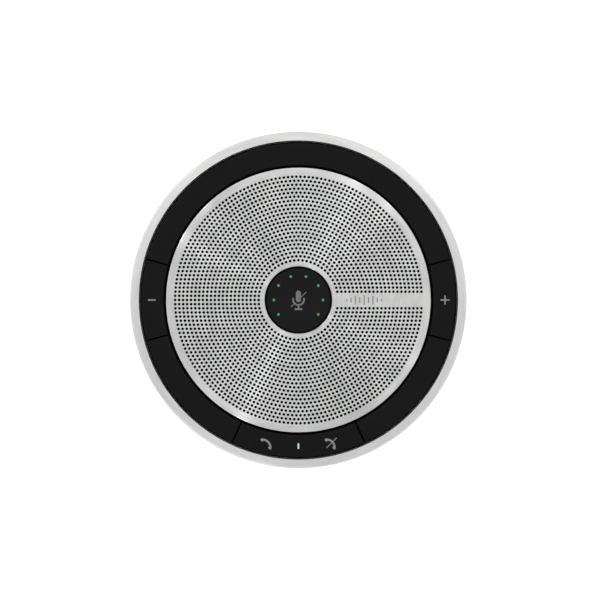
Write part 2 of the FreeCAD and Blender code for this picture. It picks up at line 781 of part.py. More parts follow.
def mute_board():
    board = disc(hub_wall_radius - hub_board_play / 2, hub_floor_z, mute_board_z)
    peg_holes = [disc(mute_peg_head_radius + peg_play, hub_floor_z, mute_board_z, point(mute_peg_circle, a))
                 for a in arm_angles]
    return board.cut(Part.makeCompound(peg_holes))


def hub_outer_radius():
    return hub_wall_radius + hub_wall


def bridge_arm_top():
    """The arms stay a little under the cloth at their feet."""
    return crown_z(arm_foot_circle + arm_foot_radius, grille_sheet + cloth_thickness + touch_gap) - 0.4


def button_bridge():
    """A cup for the mute button, held over the speaker by three arms that screw to the chassis."""
    top = crown_z(hub_outer_radius(), grille_sheet + touch_gap)
    cup = disc(hub_outer_radius(), hub_under_z, top).cut(disc(hub_wall_radius, hub_floor_z, top))
    arm_top = bridge_arm_top()
    arms = []
    for a in arm_angles:
        start = hub_wall_radius + hub_wall / 2
        arms.append(box_at((start + arm_foot_circle) / 2, a, arm_foot_circle - start, arm_width,
                           arm_top - arm_thickness, arm_top))
        arms.append(disc(arm_foot_radius, seat_z, arm_top, point(arm_foot_circle, a)))
    bridge = joined(cup, arms)
    under = arm_top - arm_thickness
    cuts = [box_at(arm_foot_circle, mute_ribbon_angle, 3 * arm_foot_radius, ribbon_width + ribbon_play,
                   under - 2 * ribbon_play, under),
            box_at(hub_wall_radius, mute_ribbon_angle, 2 * hub_wall + touch_gap, ribbon_width + ribbon_play,
                   mute_board_z, under)]
    for a in arm_angles:
        at = point(arm_foot_circle, a)
        cuts.append(disc(small_screw_radius + 0.1, seat_z, arm_top, at))
        cuts.append(disc(small_screw_head_radius + 0.2, seat_z + bridge_foot_height(), arm_top, at))
        cuts.append(disc(mute_peg_radius + peg_play / 2, hub_under_z, hub_floor_z, point(mute_peg_circle, a)))
    return bridge.cut(Part.makeCompound(cuts))


def bridge_foot_height():
    """Height of the bridge screws' seats, so that their tips stand out under the deck."""
    return small_screw_length - deck_thickness - 0.5


def small_screw(at, head_under_z):
    """A small pan-head screw, head up, with a cross slot."""
    shank = disc(small_screw_radius, head_under_z - small_screw_length, head_under_z, at)
    top = head_under_z + small_screw_head_height
    screw = shank.fuse(disc(small_screw_head_radius, head_under_z, top, at))
    depth = small_screw_slot_depth
    half, reach = small_screw_slot_width / 2, small_screw_slot_length / 2
    slots = [Part.makeBox(2 * x, 2 * y, depth, V(at.x - x, at.y - y, top - depth))
             for x, y in ((half, reach), (reach, half))]
    return screw.cut(Part.makeCompound(slots))


def bridge_screws():
    return group(small_screw(point(arm_foot_circle, a), seat_z + bridge_foot_height()) for a in arm_angles)


# ---- loudspeaker ---------------------------------------------------------------------------------
def speaker_basket():
    """The pressed steel frame: a flange, a cone-shaped cup with windows, and a floor on the magnet."""
    t = basket_sheet
    rim = speaker_opening_radius - basket_rim_inset
    foot = basket_foot_radius
    shelf = basket_floor_z + t + damper_step
    hole, well = pole_radius + basket_floor_land, foot - basket_shelf_width
    body = lathe(
        (hole, basket_floor_z), (foot, basket_floor_z), (foot + t, shelf - t / 2),
        (rim + t, flange_z), (basket_flange_radius, flange_z), (basket_flange_radius, basket_top_z),
        (rim, basket_top_z), (foot - basket_fillet, shelf), (well, shelf), (well, basket_floor_z + t),
        (hole, basket_floor_z + t),
    )
    cuts = [disc(small_screw_radius + 0.1, flange_z, basket_top_z, point(flange_screw_circle, a))
            for a in flange_screw_angles]
    for k in range(window_count):
        middle = 45 + 360 / window_count * k
        band = tube(foot + t + 0.6, rim - 0.5, shelf + window_inset, flange_z - window_inset)
        first, last = middle - window_half_angle, middle + window_half_angle
        cuts.append(band.common(wedge(first, last, shelf, flange_z)))
    return body.cut(Part.makeCompound(cuts))


def speaker_gasket():
    ring = tube(speaker_opening_radius, basket_flange_radius, seat_z, flange_z)
    holes = [disc(small_screw_radius + 0.2, seat_z, flange_z, point(flange_screw_circle, a))
             for a in flange_screw_angles]
    return ring.cut(Part.makeCompound(holes))


def speaker_screws():
    return group(small_screw(point(flange_screw_circle, a), basket_top_z) for a in flange_screw_angles)


def pole_plate():
    return tube(coil_inner_radius + former_wall + coil_wall + 0.2, magnet_radius - 1.0,
                basket_floor_z - pole_plate_height, basket_floor_z)


def magnet_ring():
    top = basket_floor_z - pole_plate_height
    return tube(magnet_hole_radius, magnet_radius, top - magnet_height, top)


def magnet_yoke():
    top = basket_floor_z - pole_plate_height - magnet_height
    pole = disc(pole_radius, top - pole_plate_height, basket_floor_z)
    return joined(disc(magnet_radius - 1.0, top - pole_plate_height, top), [pole]).cut(
        disc(1.6, top - pole_plate_height, basket_floor_z))


def cone_neck_z():
    return basket_top_z + surround_sheet - cone_depth - 0.6


def voice_coil_former():
    foot = basket_floor_z - coil_height + 0.2
    return tube(coil_inner_radius, coil_inner_radius + former_wall, foot, cone_neck_z() + 0.9)


def voice_coil():
    inner = coil_inner_radius + former_wall
    middle = basket_floor_z - pole_plate_height / 2
    return tube(inner, inner + coil_wall, middle - coil_height / 2, middle + coil_height / 2)


def speaker_cone():
    inner = coil_inner_radius + former_wall
    foot, top = cone_neck_z(), cone_neck_z() + cone_depth
    middle = ((inner + cone_outer_radius) / 2, foot + cone_depth * 0.42)
    return lathe(
        (inner, foot), (middle, (cone_outer_radius, top)), (cone_outer_radius, top + cone_sheet),
        ((middle[0] - 0.2, middle[1] + cone_sheet + 0.1), (inner, foot + cone_sheet + 0.3)),
    )


def dust_cap():
    base = cone_neck_z() + 0.9
    reach, rise, t = coil_inner_radius + former_wall, 2.0, 0.3
    inner_reach, inner_rise = reach - 2 * t, rise - t
    return lathe(
        (0, base + rise),
        ((reach / 2, base + cap_rise(reach / 2, reach, rise)), (reach, base)),
        (inner_reach, base),
        ((inner_reach / 2, base + cap_rise(inner_reach / 2, inner_reach, inner_rise)),
         (0, base + inner_rise)),
    )


def cone_surround():
    """The rubber half-roll between the cone and the basket."""
    t = surround_sheet
    inner, outer = cone_outer_radius, surround_outer_radius
    z = basket_top_z
    middle, roll = (inner + outer) / 2, (outer - inner) / 2
    return lathe(
        (inner, z), ((middle, z + roll - t), (outer - t, z)), (outer + surround_lip, z),
        (outer + surround_lip, z + t), (outer, z + t), ((middle, z + roll + t), (inner, z + t)),
    )


def cone_damper():
    """The corrugated cloth disc that centres the voice coil."""
    inner = coil_inner_radius + former_wall
    shelf = basket_floor_z + basket_sheet + damper_step
    outer = basket_foot_radius - 0.4
    t, waves = 0.3, 3
    step = (outer - 1.6 - inner - 0.4) / (2 * waves)
    lower, upper = [(inner, shelf), (inner + 0.4, shelf)], [(inner, shelf + t), (inner + 0.4, shelf + t)]
    for k in range(1, 2 * waves + 1):
        z = shelf + (0.5 if k % 2 else 0.0)
        lower.append((inner + 0.4 + k * step, z))
        upper.append((inner + 0.4 + k * step, z + t))
    return lathe(*lower, (outer, shelf), (outer, shelf + t), *reversed(upper))


# ---- electronics ---------------------------------------------------------------------------------
def main_board_z():
    return drum_floor_z + main_board_post_height + main_board_thickness


def main_board():
    top = main_board_z()
    board = disc(main_board_radius, top - main_board_thickness, top)
    under = top - main_board_thickness
    holes = [disc(small_screw_radius + 0.1, under, top, point(main_board_screw_circle, a))
             for a in main_board_screw_angles]
    return board.cut(Part.makeCompound(holes))


def main_board_screws():
    """Short screws, so they get their own length."""
    top = main_board_z()
    screws = []
    for a in main_board_screw_angles:
        at = point(main_board_screw_circle, a)
        screws.append(disc(small_screw_radius, plate_top_z + pilot_floor + 0.2, top, at).fuse(
            disc(small_screw_head_radius, top, top + small_screw_head_height, at)))
    return group(screws)


def main_board_parts():
    """Chips, capacitors and plug headers, kept outside the magnet's shadow."""
    top = main_board_z()
    chips = [box_at(r, a, length, width, top, top + height) for r, a, length, width, height in chip_sizes]
    headers = [box_at(header_radius, a, header_length, header_width, top, top + header_height)
               for a in (mute_ribbon_angle, key_ribbon_angle, 90) + microphone_angles]
    headers.append(box_at(speaker_header_radius(), 180, header_width, header_width, top,
                          top + header_height))
    cans = [disc(capacitor_radius, top, top + capacitor_height, point(capacitor_circle, a))
            for a in capacitor_angles]
    return group(chips + headers + cans)


def speaker_header_radius():
    return basket_cone_radius(basket_terminal_z()) + 2.4


def basket_cone_radius(z):
    """Outer radius of the basket's slanted wall at a height."""
    foot, rim = basket_foot_radius + basket_sheet, speaker_opening_radius - basket_rim_inset + basket_sheet
    foot_z = basket_floor_z + basket_sheet / 2 + damper_step
    return foot + (rim - foot) * (z - foot_z) / (flange_z - foot_z)


def basket_terminal_z():
    return flange_z - terminal_height


def speaker_terminal():
    """The tag board on the basket that the speaker's leads are soldered to."""
    z0, z1 = basket_terminal_z(), basket_terminal_z() + 0.8
    inner = basket_cone_radius(z0)
    tag = box_at(inner + 1.6, 180, 3.8, 6.0, z0, z1)
    return tag.cut(cone(basket_cone_radius(z0), basket_cone_radius(z1), z0, z1))


def wire(points):
    """A round wire along straight runs, with a ball at each bend."""
    runs = [Part.makeCylinder(wire_radius, (b - a).Length, a, b - a) for a, b in zip(points, points[1:])]
    bends = [Part.makeSphere(wire_radius, p) for p in points[1:-1]]
    return joined(runs[0], runs[1:] + bends)


def speaker_wires():
    """Two leads with a little slack between the tag board and the main board."""
    top = basket_terminal_z()
    foot = main_board_z() + header_height
    r = speaker_header_radius()
    leads = []
    for side in (-0.5, 0.5):
        y = side * speaker_wire_spacing
        leads.append(wire([V(-r, y, top), V(-r, y, top - 1.5), V(-r - 1.5, y, (top + foot) / 2),
                           V(-r, y, foot + 1.5), V(-r, y, foot)]))
    return group(leads)


def ribbon_slot(radius, angle, z0, z1):
    return box_at(radius, angle, 2 * ribbon_play + ribbon_thickness, ribbon_width + 2 * ribbon_play, z0, z1)


def ribbon(path, angle):
    """A flat flexible cable along (radius, z) points in the upright plane at that angle."""
    points = [V(r, 0, z) for r, z in path]
    runs = [(b - a).normalize() for a, b in zip(points, points[1:])]
    sides = ([], [])
    for k, here in enumerate(points):
        turns = [V(run.z, 0, -run.x) for run in (runs[max(k - 1, 0)], runs[min(k, len(runs) - 1)])]
        mitre = (turns[0] + turns[1]) * (ribbon_thickness / 2 / (1 + turns[0].dot(turns[1])))
        sides[0].append(here + mitre)
        sides[1].append(here - mitre)
    outline = sides[0] + sides[1][::-1]
    face = Part.Face(Part.makePolygon(outline + outline[:1]))
    face.translate(V(0, -ribbon_width / 2, 0))
    cable = face.extrude(V(0, ribbon_width, 0))
    return cable.rotate(V(0, 0, 0), UP, angle) or cable


def ribbon_end(radius):
    """The last stretch of both ribbons: down to the top of a header."""
    flat_z = main_board_z() + header_height + ribbon_thickness / 2
    return [(radius, flat_z + 3.0), (header_radius + 3.3, flat_z), (header_radius - 1.0, flat_z)]


def mute_ribbon():
    """From the mute board, under an arm of the bridge and down through the deck."""
    on_board = mute_board_z + ribbon_thickness / 2
    under_arm = bridge_arm_top() - arm_thickness - ribbon_play + ribbon_thickness / 2
    wall = hub_outer_radius()
    return ribbon([(level_light_circle + 1.0, on_board), (wall + 0.6, on_board), (wall + 1.4, under_arm),
                   (mute_ribbon_radius, under_arm)] + ribbon_end(mute_ribbon_radius), mute_ribbon_angle)


def key_ribbon():
    """From the key board's underside, down through the key deck."""
    start = [(key_ribbon_radius, deck_z), (key_ribbon_radius, deck_z - 5.5)]
    return ribbon(start + ribbon_end(mute_ribbon_radius), key_ribbon_angle)


def microphone_wires():
    """One twin lead from each microphone, straight down through the deck and in to the board."""
    top = microphone_top_z() - 0.5 - microphone_height
    foot = main_board_z() + header_height
    leads = []
    for a in microphone_angles:
        leads.append(wire([point(microphone_circle, a, top), point(microphone_circle, a, foot + 4.0),
                           point(header_radius, a, foot + 1.5), point(header_radius, a, foot)]))
    return group(leads)


def microphone_boots():
    """Rubber cups that hold the microphones up to the grille."""
    return group(tube(microphone_radius, microphone_boot_radius, seat_z, microphone_top_z(),
                      point(microphone_circle, a)) for a in microphone_angles)


def microphone_top_z():
    """The rubber cups stop a little under the cloth."""
    sink = grille_sheet + cloth_thickness + 2 * touch_gap
    return crown_z(microphone_circle + microphone_boot_radius, sink) - 0.2


def microphones():
    top = microphone_top_z() - 0.5
    return group(disc(microphone_radius, top - microphone_height, top, point(microphone_circle, a))
                 for a in microphone_angles)


# ---- the assembly --------------------------------------------------------------------------------
def assembly():
    """Every node by name."""
    nodes = {
        "outer_shell": outer_shell(),
        "base_ring": base_ring(),
        "lead_drum": lead_drum(),
        "lead_grommet": lead_grommet(),
        "base_plate": base_plate(),
        "foot_ring": foot_ring(),
        "base_screws": base_screws(),
        "chassis": chassis(),
        "speaker_grille": speaker_grille(),
        "grille_cloth": grille_cloth(),
        "key_board": key_board(),
        "keypad_mat": keypad_mat(),
        "status_led": status_led(),
        "call_key": call_key(),
        "status_light_pipe": light_pipe(),
        "mute_button": mute_button(),
        "level_light_pipes": level_light_pipes(),
        "level_leds": level_leds(),
        "mute_board": mute_board(),
        "button_bridge": button_bridge(),
        "bridge_screws": bridge_screws(),
        "mute_dome": dome(V(0, 0, 0), mute_board_z, mute_dome_z),
        "call_domes": group(dome(point(key_mid_radius, call_middle + side * call_dome_angle), mat_z, dome_z)
                            for side in (-1, 1)),
        "speaker_basket": speaker_basket(),
        "speaker_gasket": speaker_gasket(),
        "speaker_screws": speaker_screws(),
        "pole_plate": pole_plate(),
        "magnet_ring": magnet_ring(),
        "magnet_yoke": magnet_yoke(),
        "voice_coil_former": voice_coil_former(),
        "voice_coil": voice_coil(),
        "speaker_cone": speaker_cone(),
        "dust_cap": dust_cap(),
        "cone_surround": cone_surround(),
        "cone_damper": cone_damper(),
        "main_board": main_board(),
        "main_board_parts": main_board_parts(),
        "main_board_screws": main_board_screws(),
        "microphone_boots": microphone_boots(),
        "microphones": microphones(),
        "speaker_terminal": speaker_terminal(),
        "speaker_wires": speaker_wires(),
        "microphone_wires": microphone_wires(),
        "mute_ribbon": mute_ribbon(),
        "key_ribbon": key_ribbon(),
    }
    for name, first, last in cover_spans():
        nodes[name] = ring_cover(first, last)
    for name, middle in key_middles.items():
        nodes[name + "_key"] = volume_key(middle)
        nodes[name + "_dome"] = dome(point(key_mid_radius, middle), mat_z, dome_z)
    return nodes


def main():
    os.makedirs("parts", exist_ok=True)
    for name, shape in assembly().items():
        if not shape.isValid() or not shape.Solids:
            raise ValueError(name + " is not a valid solid")
        shape.exportStep("parts/" + name + ".step")
        print(f"{name:20s} {len(shape.Solids)} solids {shape.Volume:10.1f} mm3")


if __name__ == "__main__":
    main()
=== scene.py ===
# %% [markdown]
# # A round desk speakerphone
#
# The solid model arrives as a fixed frame: every node is already in place, in metres, with +Z up and
# the call key towards -Y. This lesson gives the speakerphone its looks. It replaces the plain grille
# by a perforated one, weaves the cloth behind it, turns the aluminium shell finely, prints the
# symbols on the keys, lights the light pipes, and gives every part a material that says what it is
# made of and how its surface was made.
#
# All of the visible shapes could also be modelled by hand in an editor. Here each one is grown from a
# few measurements instead, so that a change of size needs a change of one number.

# %% Load the frame and note its size
import json
import math

import bmesh
import bpy
from mathutils import Matrix, Vector


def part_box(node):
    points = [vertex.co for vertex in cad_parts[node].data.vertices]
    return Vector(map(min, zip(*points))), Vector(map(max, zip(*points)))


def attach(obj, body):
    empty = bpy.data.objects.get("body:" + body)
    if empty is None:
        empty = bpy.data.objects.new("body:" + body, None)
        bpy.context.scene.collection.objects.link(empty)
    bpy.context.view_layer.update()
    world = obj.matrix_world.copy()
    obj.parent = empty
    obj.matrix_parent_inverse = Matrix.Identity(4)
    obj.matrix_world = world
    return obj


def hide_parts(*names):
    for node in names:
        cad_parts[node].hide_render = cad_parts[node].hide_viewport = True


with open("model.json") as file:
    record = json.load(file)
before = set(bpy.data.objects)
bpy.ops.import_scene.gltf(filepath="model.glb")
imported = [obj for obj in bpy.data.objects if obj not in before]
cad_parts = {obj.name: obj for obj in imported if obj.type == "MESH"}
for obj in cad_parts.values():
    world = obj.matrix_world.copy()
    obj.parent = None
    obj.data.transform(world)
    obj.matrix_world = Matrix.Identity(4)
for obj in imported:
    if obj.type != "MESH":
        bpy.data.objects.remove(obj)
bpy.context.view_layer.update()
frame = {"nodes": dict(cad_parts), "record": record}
MM = 0.001

# %% [markdown]
# ## Helpers for colour, shader nodes and meshes
#
# Paint makers give colours as sRGB hex codes, but the shader works in linear light, so one function
# turns a code into linear values. Another adds a shader node with its settings and links in one
# line, which keeps each material short enough to read as a recipe. Node groups would do the same,
# but they hide the numbers one level deeper.


# %% Colour and node helpers
def colour(code):
    """An sRGB hex code such as "c8c9cb" as linear RGBA."""
    values = [int(code[i:i + 2], 16) / 255 for i in (0, 2, 4)]
    linear = [v / 12.92 if v <= 0.04045 else ((v + 0.055) / 1.055) ** 2.4 for v in values]
    return (*linear, 1.0)


def add(owner, kind, settings=None, **sockets):
    """Adds a node to a material or world, and returns it.

    settings are the node's own options, and "stops" are a ramp's (place, colour) pairs. sockets are
    values or outputs to link from, named as in the editor, or i0, i1 and so on by number.
    """
    made = owner.node_tree.nodes.new("ShaderNode" + kind)
    for name, value in (settings or {}).items():
        if name == "stops":
            for element, (place, tint) in zip(made.color_ramp.elements, value):
                element.position = place
                element.color = (*tint[:3], 1.0)
        else:
            setattr(made, name, value)
    for name, value in sockets.items():
        numbered = name[0] == "i" and name[1:].isdigit()
        socket = made.inputs[int(name[1:]) if numbered else name.replace("_", " ")]
        if isinstance(value, bpy.types.NodeSocket):
            owner.node_tree.links.new(value, socket)
        else:
            socket.default_value = value
    return made


def new_material(name):
    """A material with an empty node tree."""
    made = bpy.data.materials.new(name)
    made.use_nodes = True
    made.node_tree.nodes.clear()
    return made


def grey(level):
    """A linear grey, for ramps that give a value such as roughness instead of a colour."""
    return (level, level, level, 1.0)


def per_metre(size_mm):
    """The texture scale that gives features of that size."""
    return 1.0 / (size_mm * MM)


def bands_per_metre(step_mm):
    """The wave texture's scale for bands that far apart: it draws one band in 2 pi / 20 of its unit."""
    return 2 * math.pi / 20 * per_metre(step_mm)


# %% Mesh helpers
def finish_piece(name, bm, material, body, sharp_deg=35.0):
    """Turns a bmesh into a piece of the object that rides on a body."""
    mesh = bpy.data.meshes.new(name)
    bm.to_mesh(mesh)
    bm.free()
    made = bpy.data.objects.new(name, mesh)
    bpy.context.scene.collection.objects.link(made)
    mesh.shade_smooth()
    mesh.set_sharp_from_angle(angle=math.radians(sharp_deg))
    mesh.materials.append(material)
    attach(made, body)
    print(f"{name}: {len(mesh.vertices)} vertices, {len(mesh.polygons)} faces")
    return made


def turned(outline, steps):
    """A closed outline of (radius, z) points turned once about Z. Points on the axis close to a pole."""
    bm = bmesh.new()
    corners = [bm.verts.new((r, 0.0, z)) for r, z in outline]
    edges = [bm.edges.new((a, b)) for a, b in zip(corners, corners[1:] + corners[:1])]
    bmesh.ops.spin(bm, geom=corners + edges, cent=(0, 0, 0), axis=(0, 0, 1), angle=2 * math.pi,
                   steps=steps, use_merge=True)
    bmesh.ops.remove_doubles(bm, verts=bm.verts, dist=1e-7)
    bmesh.ops.recalc_face_normals(bm, faces=bm.faces)
    return bm


def arc(centre, radius, start_deg, end_deg, count):
    """Points (r, z) along an arc in an outline, both ends included."""
    turns = [math.radians(start_deg + (end_deg - start_deg) * k / count) for k in range(count + 1)]
    return [(centre[0] + radius * math.cos(t), centre[1] + radius * math.sin(t)) for t in turns]


# %% [markdown]
# ## Sizes of the grille
#
# The grille is a spherical cap. Its radii and its crown are those of the solid part, and its height
# is found from the box of the grille node, so the new piece lies exactly where the solid one did.

# %% The grille's crown
low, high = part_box("speaker_grille")
GRILLE_RADIUS = 47.15 * MM
HOLE_RADIUS = 12.0 * MM
SHEET = 0.8 * MM
CROWN = 0.8 * MM
sphere = (GRILLE_RADIUS ** 2 + CROWN ** 2) / (2 * CROWN)


def crown(radius):
    """Height of the grille's top above the rim's plane, at a radius."""
    return math.sqrt(sphere ** 2 - radius ** 2) - (sphere - CROWN)


# The cap's highest solid part is the edge of the hole for the mute button.
RIM_Z = high[2] - crown(HOLE_RADIUS)
print("rim plane at", RIM_Z, "grille top", high[2])

# %% [markdown]
# ## Brushed aluminium
#
# The grille is a sheet pressing that was brushed on a turntable, so its scratches run in circles,
# and then anodised clear. Each scratch is a tiny groove that spreads light across itself, outwards
# and inwards but not round, which is why a lamp shows as a bright radial streak. The shader's
# anisotropy does that, with the tangent taken from a UV map whose U runs outwards. The real scratches
# are about 0.05 mm apart; they are drawn 0.3 mm apart so that they show. Scratches cut into the mesh
# would do the same, but they would need millions of faces for something finer than a hair.


# %% Material: brushed anodised aluminium
def brushed_aluminium(name, codes, roughness, anisotropy, depth_mm, patchy):
    """Metal brushed in circles about Z. The tangent, along which it spreads light, points outwards."""
    made = new_material(name)
    place = add(made, "UVMap", {"uv_map": "round"}).outputs["UV"]
    # U is the distance outwards in metres and V is turns round the disc.
    lines = add(made, "Mapping", Vector=place, Scale=(per_metre(0.3), 14.0, 1.0))
    scratches = add(made, "TexNoise", {"noise_dimensions": "2D"}, Vector=lines.outputs["Vector"],
                    Scale=1.0, Detail=3.0, Roughness=0.65)
    wide = add(made, "Mapping", Vector=place, Scale=(per_metre(3.5), 26.0, 1.0))
    patches = add(made, "TexNoise", {"noise_dimensions": "2D"}, Vector=wide.outputs["Vector"],
                  Scale=1.0, Detail=2.0, Roughness=0.5)
    blend = add(made, "Mix", {"data_type": "FLOAT"}, Factor=patchy, i2=scratches.outputs["Fac"],
                i3=patches.outputs["Fac"])
    tint = add(made, "ValToRGB", {"stops": [(0.36, colour(codes[0])), (0.62, colour(codes[1]))]},
               Fac=blend.outputs[0]).outputs["Color"]
    rough = add(made, "ValToRGB",
                {"stops": [(0.3, grey(roughness - 0.03)), (0.7, grey(roughness + 0.03))]},
                Fac=scratches.outputs["Fac"]).outputs["Color"]
    bump = add(made, "Bump", Strength=0.3, Distance=depth_mm * MM, Height=scratches.outputs["Fac"])
    tangent = add(made, "Tangent", {"direction_type": "UV_MAP", "uv_map": "round"})
    shader = add(made, "BsdfPrincipled", Base_Color=tint, Metallic=1.0, Roughness=rough,
                 Anisotropic=anisotropy, Tangent=tangent.outputs["Tangent"],
                 Normal=bump.outputs["Normal"])
    add(made, "OutputMaterial", Surface=shader.outputs["BSDF"])
    return made


grille_metal = brushed_aluminium("brushed_anodised_aluminium", ("dcdcdc", "ececeb"), 0.3, 1.0, 0.01, 0.6)
rim_metal = brushed_aluminium("turned_anodised_aluminium", ("cdcdcd", "dadad9"), 0.54, 0.25, 0.01, 0.45)


def map_round(made):
    """Gives a piece the UV map "round": U runs outwards and down in metres, V is turns about Z."""
    mesh = made.data
    layer = mesh.uv_layers.new(name="round")
    for face in mesh.polygons:
        middle = math.atan2(face.center.y, face.center.x) / (2 * math.pi)
        for corner in face.loop_indices:
            place = mesh.vertices[mesh.loops[corner].vertex_index].co
            turn = math.atan2(place.y, place.x) / (2 * math.pi)
            turn += round(middle - turn)
            layer.data[corner].uv = (math.hypot(place.x, place.y) - place.z, turn)


# %% [markdown]
# ## The perforated grille
#
# The holes are punched in 22 rings, with six more holes in each ring than in the one inside it,
# which keeps them evenly spaced. A narrow strip towards +X is left blank. The holes could be painted
# by a texture, which costs nothing, but a painted hole has no wall and gives itself away from the
# side. So the sheet is an outline turned about the axis, one short prism is copied round each ring by
# a spin with duplicates, and a single boolean cuts all of them out. Twelve sides are enough for
# holes of about 1 mm.

# %% Turn the sheet
SKIRT_FOOT = low[2]
EDGE = 0.35 * MM          # rounding at the outside
INNER_EDGE = 0.15 * MM    # bevel at the mute button
RINGS, STEPS = 16, 144    # faces across the cap and round it
outline = [(GRILLE_RADIUS - SHEET, SKIRT_FOOT), (GRILLE_RADIUS, SKIRT_FOOT)]
corner_z = RIM_Z + crown(GRILLE_RADIUS - EDGE) - EDGE
outline += arc((GRILLE_RADIUS - EDGE, corner_z), EDGE, 0, 88, 5)
spread = [GRILLE_RADIUS - EDGE + (HOLE_RADIUS + INNER_EDGE - GRILLE_RADIUS + EDGE) * k / RINGS
          for k in range(1, RINGS + 1)]
outline += [(r, RIM_Z + crown(r)) for r in spread]
outline += [(HOLE_RADIUS, RIM_Z + crown(HOLE_RADIUS) - INNER_EDGE),
            (HOLE_RADIUS, RIM_Z + crown(HOLE_RADIUS) - SHEET)]
outline += [(r, RIM_Z + crown(r) - SHEET) for r in spread[::-1][2:]]
outline += [(GRILLE_RADIUS - SHEET, RIM_Z + crown(GRILLE_RADIUS - SHEET) - SHEET)]
sheet_bm = turned(outline, STEPS)
print("sheet faces:", len(sheet_bm.faces))

# %% Copy the punches round their rings
PITCH = 1.416 * MM
FIRST_RING, LAST_RING = 10, 31
PUNCH, SIDES, PUNCH_LENGTH = 0.51 * MM, 12, 4 * MM
BLANK = 1                 # holes left out to each side of +X, besides the one on it
punches = bmesh.new()
for ring in range(FIRST_RING, LAST_RING + 1):
    count = 6 * ring
    start = 2 * math.pi * (BLANK + 1) / count
    place = Matrix.Rotation(start, 4, "Z") @ Matrix.Translation((ring * PITCH, 0, RIM_Z))
    row = bmesh.new()
    bmesh.ops.create_cone(row, cap_ends=True, segments=SIDES, radius1=PUNCH, radius2=PUNCH,
                          depth=PUNCH_LENGTH, matrix=place)
    copies = count - 2 * BLANK - 2
    bmesh.ops.spin(row, geom=row.verts[:] + row.edges[:] + row.faces[:], cent=(0, 0, 0), axis=(0, 0, 1),
                   angle=2 * math.pi * copies / count, steps=copies, use_duplicate=True)
    row_mesh = bpy.data.meshes.new("row")
    row.to_mesh(row_mesh)
    row.free()
    punches.from_mesh(row_mesh)
    bpy.data.meshes.remove(row_mesh)
print("punches:", len(punches.verts) // (2 * SIDES))

# %% Cut the holes
punch_mesh = bpy.data.meshes.new("punches")
punches.to_mesh(punch_mesh)
punches.free()
punch_object = bpy.data.objects.new("punches", punch_mesh)
bpy.context.scene.collection.objects.link(punch_object)
sheet_mesh = bpy.data.meshes.new("sheet")
sheet_bm.to_mesh(sheet_mesh)
sheet_bm.free()
sheet_object = bpy.data.objects.new("sheet", sheet_mesh)
bpy.context.scene.collection.objects.link(sheet_object)
cut = sheet_object.modifiers.new("cut", "BOOLEAN")
cut.object = punch_object
cut.operation = "DIFFERENCE"
cut.solver = "MANIFOLD"
evaluated = sheet_object.evaluated_get(bpy.context.evaluated_depsgraph_get())
cut_mesh = bpy.data.meshes.new_from_object(evaluated)
perforated = bmesh.new()
perforated.from_mesh(cut_mesh)
bpy.data.objects.remove(sheet_object)
bpy.data.objects.remove(punch_object)
grille = finish_piece("perforated_grille", perforated, grille_metal, "housing")
map_round(grille)
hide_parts("speaker_grille")
print("triangles:", sum(len(face.vertices) - 2 for face in grille.data.polygons))

# %% [markdown]
# ## Plastics, rubbers and the parts inside
#
# Most of what is black here is ABS. The keys come from a finely spark-eroded mould, which leaves an
# even, silky grain that scatters the light. The base has the same plastic with a coarser grain.
# Inside there are circuit boards, steel, ferrite, copper and paper. Scanned textures could be used,
# but a grain made by noise has no seam and takes its size straight from the real one.


# %% Material: moulded plastic and rubber
def moulded(name, code, roughness, grain_mm, depth_mm, specular=0.5, variation=0.12):
    """A moulded surface: a grain of that size and depth, with slight patches in colour and gloss."""
    made = new_material(name)
    place = add(made, "TexCoord").outputs["Object"]
    grain = add(made, "TexNoise", Vector=place, Scale=per_metre(grain_mm), Detail=2.0, Roughness=0.6)
    patches = add(made, "TexNoise", Vector=place, Scale=per_metre(14.0), Detail=2.0, Roughness=0.5)
    base = colour(code)
    darker = tuple(v * (1 - variation) for v in base[:3])
    lighter = tuple(v * (1 + variation) for v in base[:3])
    tint = add(made, "ValToRGB", {"stops": [(0.35, darker), (0.65, lighter)]},
               Fac=patches.outputs["Fac"]).outputs["Color"]
    rough = add(made, "ValToRGB",
                {"stops": [(0.3, grey(roughness - 0.03)), (0.7, grey(roughness + 0.05))]},
                Fac=grain.outputs["Fac"]).outputs["Color"]
    bump = add(made, "Bump", Strength=0.5, Distance=depth_mm * MM, Height=grain.outputs["Fac"])
    shader = add(made, "BsdfPrincipled", Base_Color=tint, Roughness=rough, IOR=1.5,
                 Specular_IOR_Level=specular, Normal=bump.outputs["Normal"])
    add(made, "OutputMaterial", Surface=shader.outputs["BSDF"])
    return made


# %% Material: metals inside
def rolled_metal(name, code, roughness, grain_mm, stretch=(1.0, 1.0, 0.1)):
    """A plated or rolled metal with faint drawn lines and stains."""
    made = new_material(name)
    place = add(made, "TexCoord").outputs["Object"]
    drawn = add(made, "Mapping", Vector=place, Scale=stretch)
    lines = add(made, "TexNoise", Vector=drawn.outputs["Vector"], Scale=per_metre(grain_mm), Detail=3.0)
    base = colour(code)
    tint = add(made, "ValToRGB", {"stops": [(0.3, tuple(v * 0.85 for v in base[:3])), (0.7, base)]},
               Fac=lines.outputs["Fac"]).outputs["Color"]
    rough = add(made, "ValToRGB",
                {"stops": [(0.3, grey(roughness - 0.06)), (0.7, grey(roughness + 0.08))]},
                Fac=lines.outputs["Fac"]).outputs["Color"]
    bump = add(made, "Bump", Strength=0.3, Distance=0.01 * MM, Height=lines.outputs["Fac"])
    shader = add(made, "BsdfPrincipled", Base_Color=tint, Metallic=1.0, Roughness=rough,
                 Normal=bump.outputs["Normal"])
    add(made, "OutputMaterial", Surface=shader.outputs["BSDF"])
    return made


